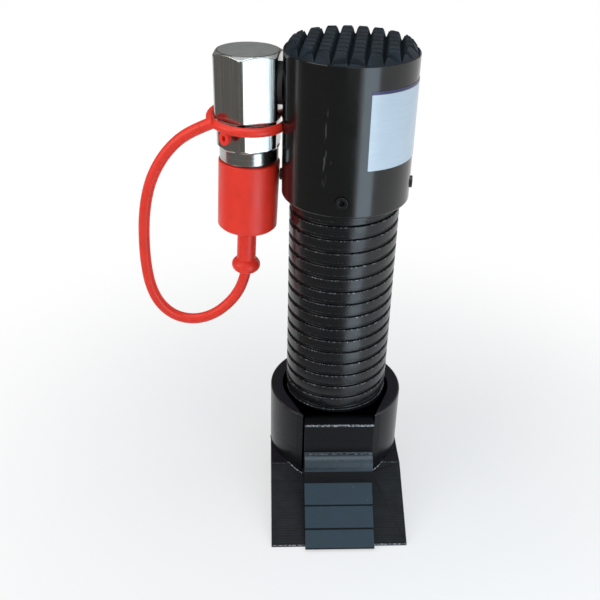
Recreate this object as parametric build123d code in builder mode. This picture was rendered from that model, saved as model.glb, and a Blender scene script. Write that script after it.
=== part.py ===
"""Hydraulic door opener: a fixed wedge toe with a collar, and a ribbed barrel that lifts a stepped toe.

The tool stands on its base at Z = 0 with the barrel's axis on Z, and its toes point to -Y.
Oil enters through the side coupler and drives the barrel, head and stepped toe up a fixed plunger.
"""
import os
from math import atan2, cos, degrees, hypot, pi, radians, sin, tan

from build123d import *

# Base block: round at the back, a wide wedge toe in front, a slotted collar on top
COLLAR_R = 38.2
COLLAR_BORE_R = 30.4
COLLAR_TOP_Z = 63.8
LEDGE_Z = 24.4
LEDGE_Y = -27.0
LOWER_TIP_Y = -69.3
LOWER_NOSE = 1.2
SLOT_HALF = 20.6
FOOT_R = 20.0
FOOT_Z = 12.0
LOCK_SCREW_R = 4.0
LOCK_SCREW_Z = 18.0
LOCK_SCREW_LENGTH = 20.0

# Plunger fixed in the base, and the annular return spring round its shaft
SHAFT_R = 16.0
PISTON_BOTTOM_Z = 200.0
PISTON_TOP_Z = 216.0
SEAL_ZS = (204.5, 211.5)
SEAL_HEIGHT = 3.4
SPRING_R = 19.0
SPRING_WIRE_R = 2.1
SPRING_TURNS = 10

# Ribbed barrel that slides up the plunger
BARREL_R = 28.9
BARREL_BORE_R = 22.0
BARREL_BOTTOM_Z = 25.0
CHAMBER_TOP_Z = 222.0
SPIGOT_R = 27.0
THREAD_R = 26.0
GROOVE_PITCH = 7.56
GROOVE_START_Z = 61.2
GROOVE_WIDTH = 2.9
GROOVE_FLOOR = 2.0
GROOVE_DEPTH = 1.5
GLAND_R = 24.0
GLAND_TOP_Z = 44.0
RUNNING_GAP = 0.05

# Stepped toe clamped to the barrel's lower end
TOE_HALF = 19.4
TOE_FACE_Y = -38.2
TOE_TOP_Z = 61.5
SHOULDER_Z = 42.0
SHOULDER_Y = -45.8
HUB_R = 30.0
HUB_TOP_Z = 46.0
TOE_CLEARANCE = 0.45

# Head screwed on the barrel's upper end
HEAD_R = 33.0
HEAD_BOTTOM_Z = 185.4
HEAD_RIM_Z = 259.1
STUD_HEIGHT = 5.0
STUD_PITCH = 7.85
STUD_TOP = 4.2
STUD_SHOULDER = 5.7
STUD_SHOULDER_HEIGHT = 3.7
RIM_CHAMFER = 4.0
HEAD_TURN = -8.2
HEAD_SCREW_Z = 193.9
HEAD_SCREW_R = 3.1
HEAD_SCREW_PROUD = 1.2

# Side coupler, upright beside the head
COUPLER_X = -49.7
COUPLER_Y = 9.0
HEX_ACROSS = 32.0
HEX_CORNER_R = 18.0
HEX_BOTTOM_Z = 222.6
HEX_TOP_Z = 256.5
PORT_Z = 241.0
PORT_THREAD_R = 7.0
OILWAY_R = 3.0
NIPPLE_R = 15.3
NIPPLE_COLLAR_R = 16.9
NIPPLE_ACROSS = 30.4
FLATS_END_Z = 208.9
NIPPLE_SHOULDER_Z = 201.5
PROBE_R = 12.6
PROBE_END_Z = 170.5

# Dust cap with its pull knob, and the moulded ring and tether that keep it
CAP_R = 16.0
CAP_RIM_Z = 200.7
CAP_LENGTH = 38.2
CAP_LEAN = 2.3
RING_R = 19.45
RING_WIRE_R = 2.3
RING_Z = 222.45
RING_TILT = 5.0
RING_HIGH_SIDE = 115.0
ROOT_LENGTH = 7.0
TETHER_R = 3.0
TETHER_ROUTE = (
    (-52.3, 9.0, 134.4),
    (-54.2, 8.7, 126.0),
    (-60.2, 8.2, 115.8),
    (-70.0, 7.6, 107.0),
    (-81.4, 7.1, 103.4),
    (-92.6, 6.5, 106.0),
    (-101.0, 5.9, 114.4),
    (-105.4, 5.3, 126.4),
    (-106.9, 4.8, 140.4),
    (-106.8, 4.3, 156.0),
    (-105.4, 3.8, 172.4),
    (-101.6, 3.3, 188.6),
    (-95.2, 2.8, 201.4),
    (-87.6, 2.0, 210.8),
    (-79.8, 1.0, 217.0),
    (-73.0, -0.4, 220.4),
)

os.makedirs("parts", exist_ok=True)
side_plane = Plane(origin=(0, 0, 0), x_dir=(0, 1, 0), z_dir=(1, 0, 0))
port_angle = degrees(atan2(COUPLER_Y, COUPLER_X))
coupler_distance = hypot(COUPLER_X, COUPLER_Y)
coupler_axis = Axis((COUPLER_X, COUPLER_Y, 0), (0, 0, 1))


def save(piece, name):
    """Label a finished piece and write its STEP file under the same name."""
    piece.label = name
    export_step(piece, f"parts/{name}.step")


def upright(x=0.0, y=0.0):
    """Plane through an upright axis at x, y: local x is the radius, local y is the height."""
    return Plane(origin=(x, y, 0), x_dir=(1, 0, 0), z_dir=(0, -1, 0))


def facing(angle, distance, height):
    """Plane that faces outwards at an angle round the barrel, at a distance from its axis."""
    turn = radians(angle)
    out = (cos(turn), sin(turn), 0)
    return Plane(origin=(distance * out[0], distance * out[1], height), x_dir=(-out[1], out[0], 0), z_dir=out)


def lower_slope(y):
    """Height of the wide toe's sloping face at y."""
    return LEDGE_Z - (LEDGE_Y - y) * (LEDGE_Z - LOWER_NOSE) / (LEDGE_Y - LOWER_TIP_Y)


# Base block
with BuildPart() as base_block:
    with BuildSketch(side_plane):
        with BuildLine():
            Polyline(
                (0, 0),
                (LOWER_TIP_Y, 0),
                (LOWER_TIP_Y, LOWER_NOSE),
                (LEDGE_Y, LEDGE_Z),
                (0, LEDGE_Z),
                close=True,
            )
        make_face()
    extrude(amount=COLLAR_R, both=True)
    with BuildSketch(Plane.XY):
        Circle(COLLAR_R)
    extrude(amount=COLLAR_TOP_Z)
    with BuildSketch(Plane.XY.offset(LEDGE_Z)):
        Circle(COLLAR_BORE_R)
    extrude(amount=COLLAR_TOP_Z - LEDGE_Z, mode=Mode.SUBTRACT)
    chamfer(base_block.edges().filter_by(GeomType.CIRCLE).group_by(Axis.Z)[-1], 0.5)
    front_y = -COLLAR_R - 8.0
    with BuildSketch(side_plane):
        with BuildLine():
            Polyline(
                (-5, LEDGE_Z),
                (LEDGE_Y, LEDGE_Z),
                (front_y, lower_slope(front_y)),
                (front_y, COLLAR_TOP_Z + 1),
                (-5, COLLAR_TOP_Z + 1),
                close=True,
            )
        make_face()
    extrude(amount=SLOT_HALF, both=True, mode=Mode.SUBTRACT)
    slot_edges = base_block.edges().filter_by(Axis.Z).filter_by(
        lambda e: abs(abs(e.center().X) - SLOT_HALF) < 0.1 and e.center().Y < -COLLAR_BORE_R + 1
    )
    fillet(slot_edges, 2.0)
    with BuildSketch(Plane.XY.offset(FOOT_Z)):
        Circle(FOOT_R)
    extrude(amount=LEDGE_Z, mode=Mode.SUBTRACT)
    with BuildSketch(facing(90, FOOT_R - 4, LOCK_SCREW_Z)):
        Circle(LOCK_SCREW_R)
    extrude(amount=COLLAR_R, mode=Mode.SUBTRACT)
save(base_block.part, "base_block")

# Plunger: a solid shaft with a foot in the base and a piston at the top
with BuildPart() as plunger:
    with BuildSketch(upright()):
        with BuildLine():
            Polyline(
                (0, FOOT_Z),
                (FOOT_R - 0.02, FOOT_Z),
                (FOOT_R - 0.02, LEDGE_Z),
                (SHAFT_R, LEDGE_Z),
                (SHAFT_R, PISTON_BOTTOM_Z),
                (BARREL_BORE_R - RUNNING_GAP, PISTON_BOTTOM_Z),
                (BARREL_BORE_R - RUNNING_GAP, PISTON_TOP_Z),
                (0, PISTON_TOP_Z),
                close=True,
            )
        make_face()
    revolve(axis=Axis.Z)
    with BuildSketch(upright()):
        for seal_z in SEAL_ZS:
            with Locations((BARREL_BORE_R, seal_z)):
                Rectangle(7.0, SEAL_HEIGHT)
    revolve(axis=Axis.Z, mode=Mode.SUBTRACT)
    with BuildSketch(facing(90, FOOT_R - 4, LOCK_SCREW_Z)):
        Circle(LOCK_SCREW_R)
    extrude(amount=6.0, mode=Mode.SUBTRACT)
save(plunger.part, "plunger")

# Seal and wear ring in the piston's grooves
with BuildPart() as piston_seals:
    with BuildSketch(upright()):
        for seal_z in SEAL_ZS:
            with Locations((BARREL_BORE_R - 1.8, seal_z)):
                Rectangle(3.4, SEAL_HEIGHT - 0.1)
    revolve(axis=Axis.Z)
save(piston_seals.part, "piston_seals")

# Set screw through the back of the base into the plunger's foot
with BuildPart() as plunger_lock_screw:
    with BuildSketch(facing(90, FOOT_R - 3.9, LOCK_SCREW_Z)):
        Circle(LOCK_SCREW_R - 0.02)
    extrude(amount=LOCK_SCREW_LENGTH)
    with BuildSketch(facing(90, FOOT_R - 3.9 + LOCK_SCREW_LENGTH, LOCK_SCREW_Z)):
        RegularPolygon(2.0, 6, major_radius=False)
    extrude(amount=-4.0, mode=Mode.SUBTRACT)
save(plunger_lock_screw.part, "plunger_lock_screw")

# Return spring between the barrel's end gland and the piston
with BuildPart() as return_spring:
    spring_bottom = GLAND_TOP_Z + SPRING_WIRE_R + 0.1
    spring_height = PISTON_BOTTOM_Z - GLAND_TOP_Z - 2 * SPRING_WIRE_R - 0.2
    with BuildLine():
        coil = Helix(
            pitch=spring_height / SPRING_TURNS,
            height=spring_height,
            radius=SPRING_R,
            center=(0, 0, spring_bottom),
        )
    with BuildSketch(Plane(origin=coil @ 0, z_dir=coil % 0)):
        Circle(SPRING_WIRE_R)
    sweep(is_frenet=True)
save(return_spring.part, "return_spring")

# Barrel: a tube with one coarse flat-bottomed groove wound up its outside
with BuildPart() as ribbed_barrel:
    with BuildSketch(upright()):
        with BuildLine():
            Polyline(
                (GLAND_R, BARREL_BOTTOM_Z),
                (SPIGOT_R, BARREL_BOTTOM_Z),
                (SPIGOT_R, HUB_TOP_Z),
                (BARREL_R, HUB_TOP_Z),
                (BARREL_R, HEAD_BOTTOM_Z),
                (THREAD_R, HEAD_BOTTOM_Z),
                (THREAD_R, CHAMBER_TOP_Z),
                (BARREL_BORE_R, CHAMBER_TOP_Z),
                (BARREL_BORE_R, GLAND_TOP_Z),
                (GLAND_R, GLAND_TOP_Z),
                close=True,
            )
        make_face()
    revolve(axis=Axis.Z)
    groove_path = Helix(
        pitch=GROOVE_PITCH,
        height=HEAD_BOTTOM_Z - GROOVE_START_Z - GROOVE_WIDTH / 2 - 0.3,
        radius=BARREL_R,
        center=(0, 0, GROOVE_START_Z),
        mode=Mode.PRIVATE,
    )
    with BuildSketch(Plane(origin=groove_path @ 0, x_dir=(1, 0, 0), z_dir=groove_path % 0)):
        Polygon(
            (1.0, GROOVE_WIDTH / 2),
            (-GROOVE_DEPTH, GROOVE_FLOOR / 2),
            (-GROOVE_DEPTH, -GROOVE_FLOOR / 2),
            (1.0, -GROOVE_WIDTH / 2),
            align=None,
        )
    sweep(path=groove_path, is_frenet=True, mode=Mode.SUBTRACT)
save(ribbed_barrel.part, "ribbed_barrel")

# Gland that closes the barrel's lower end and runs on the plunger's shaft
WIPER_Z = 30.0
with BuildPart() as end_gland:
    with BuildSketch(upright()):
        with BuildLine():
            Polyline(
                (SHAFT_R + RUNNING_GAP, BARREL_BOTTOM_Z),
                (GLAND_R - 0.02, BARREL_BOTTOM_Z),
                (GLAND_R - 0.02, GLAND_TOP_Z),
                (SHAFT_R + RUNNING_GAP, GLAND_TOP_Z),
                close=True,
            )
        make_face()
        with Locations((SHAFT_R + 0.5, WIPER_Z)):
            Rectangle(5.0, 4.0, mode=Mode.SUBTRACT)
    revolve(axis=Axis.Z)
save(end_gland.part, "end_gland")

with BuildPart() as gland_wiper:
    with BuildSketch(upright()):
        with Locations((SHAFT_R + 0.35 + 1.25, WIPER_Z)):
            Rectangle(2.5, 3.8)
    revolve(axis=Axis.Z)
save(gland_wiper.part, "gland_wiper")

# Stepped toe: a hub round the barrel, an arm through the collar's slot, three gripping steps
TREADS = ((-55.2, 18.3, 17.0), (-64.6, 9.7, 8.3), (-73.0, 2.8, 1.65))
with BuildPart() as upper_toe:
    shoulder_r = TOE_FACE_Y - SHOULDER_Y
    underside_z = LOWER_NOSE + TOE_CLEARANCE
    arm_back_y = -20.0
    with BuildSketch(side_plane):
        with BuildLine():
            Polyline(
                (arm_back_y, LEDGE_Z + TOE_CLEARANCE),
                (arm_back_y, TOE_TOP_Z),
                (TOE_FACE_Y + 0.6, TOE_TOP_Z),
                (TOE_FACE_Y, TOE_TOP_Z - 0.6),
                (TOE_FACE_Y, SHOULDER_Z),
            )
            CenterArc((TOE_FACE_Y, SHOULDER_Z - shoulder_r), shoulder_r, 90, 90)
            step_points = [(SHOULDER_Y, SHOULDER_Z - shoulder_r), (SHOULDER_Y, 25.9)]
            for tread_y, edge_z, foot_z in TREADS:
                step_points.append((tread_y, edge_z))
                step_points.append((tread_y, foot_z))
            step_points.append((LOWER_TIP_Y - 0.3, underside_z))
            step_points.append((LEDGE_Y, LEDGE_Z + TOE_CLEARANCE))
            step_points.append((arm_back_y, LEDGE_Z + TOE_CLEARANCE))
            Polyline(*step_points)
        make_face()
    extrude(amount=TOE_HALF, both=True)
    with BuildSketch(Plane.XY.offset(LEDGE_Z + TOE_CLEARANCE)):
        Circle(HUB_R)
    extrude(amount=HUB_TOP_Z - LEDGE_Z - TOE_CLEARANCE)
    with BuildSketch(Plane.XY.offset(LEDGE_Z)):
        Circle(SPIGOT_R)
    extrude(amount=HUB_TOP_Z - LEDGE_Z, mode=Mode.SUBTRACT)
    with BuildSketch(Plane.XY.offset(HUB_TOP_Z)):
        Circle(BARREL_R + 0.1)
    extrude(amount=TOE_TOP_Z - HUB_TOP_Z, mode=Mode.SUBTRACT)
save(upper_toe.part, "upper_toe")

# Head: a plain drum whose top is cut both ways into truncated pyramid studs
with BuildPart() as head_block:
    stud_top_z = HEAD_RIM_Z + STUD_HEIGHT
    with BuildSketch(upright()):
        with BuildLine():
            Polyline(
                (0, CHAMBER_TOP_Z),
                (THREAD_R, CHAMBER_TOP_Z),
                (THREAD_R, HEAD_BOTTOM_Z),
                (HEAD_R - 0.8, HEAD_BOTTOM_Z),
                (HEAD_R, HEAD_BOTTOM_Z + 0.8),
                (HEAD_R, HEAD_RIM_Z),
                (HEAD_R - RIM_CHAMFER, stud_top_z),
                (0, stud_top_z),
                close=True,
            )
        make_face()
    revolve(axis=Axis.Z)
    groove_mouth = (STUD_PITCH - STUD_TOP) / 2
    groove_waist = (STUD_PITCH - STUD_SHOULDER) / 2
    for groove_turn in (HEAD_TURN, HEAD_TURN + 90):
        with BuildSketch(facing(groove_turn, 0, HEAD_RIM_Z)):
            with Locations(*[(STUD_PITCH * i, 0) for i in range(-4, 5)]):
                Polygon(
                    (0, 0),
                    (groove_waist, STUD_SHOULDER_HEIGHT),
                    (groove_mouth, STUD_HEIGHT),
                    (-groove_mouth, STUD_HEIGHT),
                    (-groove_waist, STUD_SHOULDER_HEIGHT),
                    align=None,
                )
        extrude(amount=HEAD_R + 2, both=True, mode=Mode.SUBTRACT)
    for i in range(4):
        with BuildSketch(facing(HEAD_TURN + 90 * i, THREAD_R - 1, HEAD_SCREW_Z)):
            Circle(HEAD_SCREW_R)
        extrude(amount=HEAD_R, mode=Mode.SUBTRACT)
    with BuildSketch(facing(port_angle, HEAD_R - 0.9, PORT_Z)):
        Circle(10.8)
    extrude(amount=5.0, mode=Mode.SUBTRACT)
    with BuildSketch(facing(port_angle, 15.0, PORT_Z)):
        Circle(PORT_THREAD_R)
    extrude(amount=HEAD_R, mode=Mode.SUBTRACT)
    with BuildSketch(facing(port_angle, 0, PORT_Z)):
        Circle(OILWAY_R)
    extrude(amount=16.0, mode=Mode.SUBTRACT)
    with BuildSketch(Plane.XY.offset(CHAMBER_TOP_Z)):
        Circle(OILWAY_R)
    extrude(amount=PORT_Z - CHAMBER_TOP_Z, mode=Mode.SUBTRACT)
save(head_block.part, "head_block")

# Four set screws that lock the head on the barrel
with BuildPart() as head_screws:
    for i in range(4):
        with BuildSketch(facing(HEAD_TURN + 90 * i, THREAD_R + 0.05, HEAD_SCREW_Z)):
            Circle(HEAD_SCREW_R - 0.02)
        extrude(amount=HEAD_R + HEAD_SCREW_PROUD - THREAD_R - 0.05)
    for i in range(4):
        with BuildSketch(facing(HEAD_TURN + 90 * i, HEAD_R + HEAD_SCREW_PROUD, HEAD_SCREW_Z)):
            RegularPolygon(1.5, 6, major_radius=False)
        extrude(amount=-3.0, mode=Mode.SUBTRACT)
save(head_screws.part, "head_screws")

# Port nipple between head and coupler, and its bonded seal
flat_distance = coupler_distance - HEX_ACROSS / 2
with BuildPart() as port_nipple:
    with BuildSketch(facing(port_angle, 16.5, PORT_Z)):
        Circle(PORT_THREAD_R - 0.02)
        Circle(OILWAY_R, mode=Mode.SUBTRACT)
    extrude(amount=flat_distance + 9.0 - 16.5)
save(port_nipple.part, "port_nipple")

with BuildPart() as port_seal:
    with BuildSketch(facing(port_angle, HEAD_R - 0.88, PORT_Z)):
        Circle(10.4)
        Circle(PORT_THREAD_R + 0.1, mode=Mode.SUBTRACT)
    extrude(amount=flat_distance - HEAD_R + 0.86)
save(port_seal.part, "port_seal")

# Coupler body: a chamfered hexagon block with one flat turned to the head
with BuildPart() as coupler_body:
    face_r = HEX_ACROSS / 2 - 0.6
    bevel = (HEX_CORNER_R - face_r) * tan(radians(30))
    with BuildSketch(upright(COUPLER_X, COUPLER_Y)):
        with BuildLine():
            Polyline(
                (0, HEX_BOTTOM_Z),
                (face_r, HEX_BOTTOM_Z),
                (HEX_CORNER_R, HEX_BOTTOM_Z + bevel),
                (HEX_CORNER_R, HEX_TOP_Z - bevel),
                (face_r, HEX_TOP_Z),
                (0, HEX_TOP_Z),
                close=True,
            )
        make_face()
    revolve(axis=coupler_axis)
    with BuildSketch(Plane.XY.offset(HEX_BOTTOM_Z)):
        with Locations((COUPLER_X, COUPLER_Y)):
            RegularPolygon(HEX_ACROSS / 2, 6, major_radius=False, rotation=port_angle + 30)
    extrude(amount=HEX_TOP_Z - HEX_BOTTOM_Z, mode=Mode.INTERSECT)
    with BuildSketch(Plane.XY.offset(HEX_BOTTOM_Z)):
        with Locations((COUPLER_X, COUPLER_Y)):
            Circle(11.0)
    extrude(amount=7.0, mode=Mode.SUBTRACT)
    with BuildSketch(Plane.XY.offset(HEX_BOTTOM_Z)):
        with Locations((COUPLER_X, COUPLER_Y)):
            Circle(OILWAY_R)
    extrude(amount=PORT_Z - HEX_BOTTOM_Z, mode=Mode.SUBTRACT)
    with BuildSketch(facing(port_angle, flat_distance - 1, PORT_Z)):
        Circle(PORT_THREAD_R)
    extrude(amount=11.0, mode=Mode.SUBTRACT)
    with BuildSketch(facing(port_angle, flat_distance, PORT_Z)):
        Circle(OILWAY_R)
    extrude(amount=HEX_ACROSS / 2, mode=Mode.SUBTRACT)
save(coupler_body.part, "coupler_body")

# Coupler nipple: wrench flats, a plain band, and the probe under the dust cap
VALVE_SEAT_Z = 177.0
VALVE_ROOM_TOP_Z = 210.0
VALVE_ROOM_R = 7.5
MOUTH_R = 5.0
with BuildPart() as coupler_nipple:
    with BuildSketch(upright(COUPLER_X, COUPLER_Y)):
        with BuildLine():
            Polyline(
                (0, PROBE_END_Z),
                (PROBE_R - 1.0, PROBE_END_Z),
                (PROBE_R, PROBE_END_Z + 1.5),
                (PROBE_R, 186.0),
                (PROBE_R - 1.1, 187.1),
                (PROBE_R - 1.1, 190.9),
                (PROBE_R, 192.0),
                (PROBE_R, NIPPLE_SHOULDER_Z),
                (NIPPLE_R - 0.4, NIPPLE_SHOULDER_Z),
                (NIPPLE_R, NIPPLE_SHOULDER_Z + 0.4),
                (NIPPLE_R, FLATS_END_Z - 0.6),
                (NIPPLE_COLLAR_R, FLATS_END_Z + 1.0),
                (NIPPLE_COLLAR_R, HEX_BOTTOM_Z),
                (0, HEX_BOTTOM_Z),
                close=True,
            )
        make_face()
    revolve(axis=coupler_axis)
    with BuildSketch(Plane.XY.offset(FLATS_END_Z)):
        with Locations((COUPLER_X, COUPLER_Y)):
            Circle(NIPPLE_COLLAR_R + 1.0)
            RegularPolygon(
                NIPPLE_ACROSS / 2, 6, major_radius=False, rotation=port_angle + 30, mode=Mode.SUBTRACT
            )
    extrude(amount=HEX_BOTTOM_Z - FLATS_END_Z, mode=Mode.SUBTRACT)
    with BuildSketch(Plane.XY.offset(HEX_BOTTOM_Z)):
        with Locations((COUPLER_X, COUPLER_Y)):
            Circle(11.0 - 0.02)
    extrude(amount=6.5)
    with BuildSketch(upright(COUPLER_X, COUPLER_Y)):
        with BuildLine():
            Polyline(
                (0, PROBE_END_Z),
                (MOUTH_R, PROBE_END_Z),
                (MOUTH_R, VALVE_SEAT_Z),
                (VALVE_ROOM_R, VALVE_SEAT_Z),
                (VALVE_ROOM_R, VALVE_ROOM_TOP_Z),
                (OILWAY_R, VALVE_ROOM_TOP_Z),
                (OILWAY_R, HEX_BOTTOM_Z + 6.5),
                (0, HEX_BOTTOM_Z + 6.5),
                close=True,
            )
        make_face()
    revolve(axis=coupler_axis, mode=Mode.SUBTRACT)
save(coupler_nipple.part, "coupler_nipple")

# Check valve in the nipple's mouth, pushed in by the mating coupler, and its spring
with BuildPart() as coupler_poppet:
    with BuildSketch(upright(COUPLER_X, COUPLER_Y)):
        with BuildLine():
            Polyline(
                (0, PROBE_END_Z + 0.5),
                (MOUTH_R - 1.0, PROBE_END_Z + 0.5),
                (MOUTH_R - RUNNING_GAP, PROBE_END_Z + 1.5),
                (MOUTH_R - RUNNING_GAP, VALVE_SEAT_Z + 0.05),
                (VALVE_ROOM_R - 0.5, VALVE_SEAT_Z + 0.05),
                (VALVE_ROOM_R - 0.5, VALVE_SEAT_Z + 5.0),
                (2.5, VALVE_SEAT_Z + 5.0),
                (2.5, VALVE_SEAT_Z + 14.0),
                (0, VALVE_SEAT_Z + 14.0),
                close=True,
            )
        make_face()
    revolve(axis=coupler_axis)
save(coupler_poppet.part, "coupler_poppet")

with BuildPart() as poppet_spring:
    coil_bottom = VALVE_SEAT_Z + 5.9
    coil_height = VALVE_ROOM_TOP_Z - 0.8 - coil_bottom
    with BuildLine():
        valve_coil = Helix(
            pitch=coil_height / 6,
            height=coil_height,
            radius=5.2,
            center=(COUPLER_X, COUPLER_Y, coil_bottom),
        )
    with BuildSketch(Plane(origin=valve_coil @ 0, z_dir=valve_coil % 0)):
        Circle(0.7)
    sweep(is_frenet=True)
save(poppet_spring.part, "poppet_spring")

# Moulded ring that keeps the tether: it sits askew, gives way to corners and head, and has a root and an eye
ring_lean = radians(RING_TILT)
high_side = radians(RING_HIGH_SIDE)
ring_plane = Plane(
    origin=(COUPLER_X, COUPLER_Y, RING_Z),
    x_dir=(-sin(high_side), cos(high_side), 0),
    z_dir=(-sin(ring_lean) * cos(high_side), -sin(ring_lean) * sin(high_side), cos(ring_lean)),
)


def ring_point(turn):
    """Point on the ring's centre line at an angle round the coupler."""
    rise = RING_R * tan(ring_lean) * cos(turn - high_side)
    return (COUPLER_X + RING_R * cos(turn), COUPLER_Y + RING_R * sin(turn), RING_Z + rise)


with BuildPart() as tether_ring:
    with BuildSketch(Plane(origin=ring_plane.origin, x_dir=ring_plane.x_dir, z_dir=-ring_plane.y_dir)):
        with Locations((RING_R, 0)):
            Circle(RING_WIRE_R)
    revolve(axis=Axis(ring_plane.origin, ring_plane.z_dir))
    root_start = Vector(*TETHER_ROUTE[-1])
    root_direction = (root_start - Vector(*TETHER_ROUTE[-2])).normalized()
    with BuildSketch(Plane(origin=root_start, z_dir=root_direction)):
        Circle(TETHER_R)
    extrude(amount=ROOT_LENGTH)
    eye_turn = radians(-126)
    eye_side = (cos(eye_turn), sin(eye_turn), 0)
    eye_centre = Vector(*ring_point(eye_turn)) - Vector(*eye_side) * 1.6 - Vector(0, 0, 4.6)
    with BuildSketch(Plane(origin=eye_centre, x_dir=(-eye_side[1], eye_side[0], 0), z_dir=eye_side)):
        Ellipse(2.8, 3.5)
        Ellipse(1.1, 1.5, mode=Mode.SUBTRACT)
    extrude(amount=3.2)
    with BuildSketch(Plane.XY.offset(RING_Z - 15)):
        with Locations((COUPLER_X, COUPLER_Y)):
            Circle(NIPPLE_COLLAR_R + 0.05)
        Circle(HEAD_R + 0.15)
    extrude(amount=30.0, mode=Mode.SUBTRACT)
    with BuildSketch(Plane.XY.offset(HEX_BOTTOM_Z - 0.05)):
        with Locations((COUPLER_X, COUPLER_Y)):
            RegularPolygon(HEX_ACROSS / 2 + 0.05, 6, major_radius=False, rotation=port_angle + 30)
            Circle(HEX_CORNER_R + 0.05, mode=Mode.INTERSECT)
    extrude(amount=15.0, mode=Mode.SUBTRACT)
save(tether_ring.part, "tether_ring")

# Dust cap: a deep cup with a flat end, a stem and a squashed ball, leaning a little on the probe
lean = radians(CAP_LEAN)
cap_plane = Plane(origin=(COUPLER_X, COUPLER_Y, CAP_RIM_Z), x_dir=(cos(lean), 0, -sin(lean)), z_dir=(0, -1, 0))
cap_axis = Axis((COUPLER_X, COUPLER_Y, CAP_RIM_Z), (sin(lean), 0, cos(lean)))
KNOB_R = 7.9
KNOB_HALF_HEIGHT = 5.3
KNOB_DROP = 62.0
STEM_R = 5.2
with BuildPart() as dust_cap:
    with BuildSketch(cap_plane):
        with BuildLine():
            Polyline(
                (12.95, 0),
                (CAP_R - 0.5, 0),
                (CAP_R, -0.5),
                (CAP_R - 0.1, -CAP_LENGTH + 1.6),
                (CAP_R - 1.7, -CAP_LENGTH),
                (STEM_R + 1.2, -CAP_LENGTH),
                (STEM_R, -CAP_LENGTH - 2.0),
                (STEM_R, -KNOB_DROP),
                (0, -KNOB_DROP),
                (0, -CAP_LENGTH + 6.0),
                (14.0, -CAP_LENGTH + 6.0),
                (14.0, -4.0),
                (12.95, -3.0),
                close=True,
            )
        make_face()
    revolve(axis=cap_axis)
    with BuildSketch(cap_plane):
        with Locations((0, -KNOB_DROP)):
            Ellipse(KNOB_R, KNOB_HALF_HEIGHT)
            with Locations((-KNOB_R, 0)):
                Rectangle(2 * KNOB_R, 4 * KNOB_R, mode=Mode.SUBTRACT)
    revolve(axis=cap_axis)
save(dust_cap.part, "dust_cap")

# Tether: a round moulded cord that loops from the knob back up to the ring
def bend_radii(route):
    """Largest smooth arc at each inner corner: 0.45 of the shorter run over the tangent of half the turn."""
    radii = []
    for before, here, after in zip(route, route[1:], route[2:]):
        incoming = Vector(*here) - Vector(*before)
        outgoing = Vector(*after) - Vector(*here)
        half_turn = radians(incoming.get_angle(outgoing)) / 2
        radii.append(0.45 * min(incoming.length, outgoing.length) / tan(half_turn))
    return radii


with BuildPart() as cap_tether:
    tether_radii = bend_radii(TETHER_ROUTE)
    with BuildLine():
        tether_line = FilletPolyline(*TETHER_ROUTE, radius=tether_radii)
    with BuildSketch(Plane(origin=tether_line @ 0, z_dir=tether_line % 0)):
        Circle(TETHER_R)
    sweep()
save(cap_tether.part, "cap_tether")
tether_length = tether_line.length
print("tether length", round(tether_length, 1), "radii", [round(r, 1) for r in tether_radii])
print("tether volume", round(cap_tether.part.volume), "section times length", round(pi * TETHER_R**2 * tether_length))
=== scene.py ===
"""Looks of the hydraulic door opener: finishes, label plate, tether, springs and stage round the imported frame."""
import math

import bmesh
import bpy
from bpy.props import FloatProperty, FloatVectorProperty, IntProperty, PointerProperty
from bpy.types import Operator, Panel, PropertyGroup
from mathutils import Matrix, Quaternion, Vector


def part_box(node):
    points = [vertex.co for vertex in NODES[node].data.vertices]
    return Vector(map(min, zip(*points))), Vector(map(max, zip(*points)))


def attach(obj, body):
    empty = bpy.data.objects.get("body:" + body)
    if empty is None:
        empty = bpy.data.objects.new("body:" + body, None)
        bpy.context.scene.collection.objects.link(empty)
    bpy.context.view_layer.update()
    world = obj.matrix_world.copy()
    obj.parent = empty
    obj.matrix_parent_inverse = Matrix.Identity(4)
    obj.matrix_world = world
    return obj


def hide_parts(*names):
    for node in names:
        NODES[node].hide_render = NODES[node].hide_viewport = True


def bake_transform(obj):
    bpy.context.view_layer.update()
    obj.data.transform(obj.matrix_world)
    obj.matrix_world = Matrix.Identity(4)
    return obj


bl_info = {
    "name": "Hydraulic Door Opener",
    "version": (1, 0, 0),
    "blender": (4, 5, 0),
    "location": "View3D > Sidebar > Opener",
    "description": "Finishes, label plate, tether and stage of a hydraulic door opener",
    "category": "Object",
}

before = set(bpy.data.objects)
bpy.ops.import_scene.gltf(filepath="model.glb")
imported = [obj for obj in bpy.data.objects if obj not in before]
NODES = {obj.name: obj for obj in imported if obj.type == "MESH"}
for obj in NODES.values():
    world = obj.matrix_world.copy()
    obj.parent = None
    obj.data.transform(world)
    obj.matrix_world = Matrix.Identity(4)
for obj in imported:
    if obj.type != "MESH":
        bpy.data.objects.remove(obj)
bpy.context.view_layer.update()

# Sizes that the frame gives
HEAD_LOW, HEAD_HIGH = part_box("head_block")
HEAD_RADIUS = (HEAD_HIGH.x - HEAD_LOW.x) / 2
BARREL_LOW, BARREL_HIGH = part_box("ribbed_barrel")
SEAT_LOW, SEAT_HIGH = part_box("coupler_body")
COUPLER_AXIS = (SEAT_LOW + SEAT_HIGH) / 2
HEAD_RIM = HEAD_HIGH.z - 0.0050
LEDGE_HEIGHT = 0.0244
LEDGE_FRONT = -0.0270
GROOVE_PITCH = 0.00756
GROOVE_START = 0.0612
GROOVE_MOUTH = 0.0027

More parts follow.
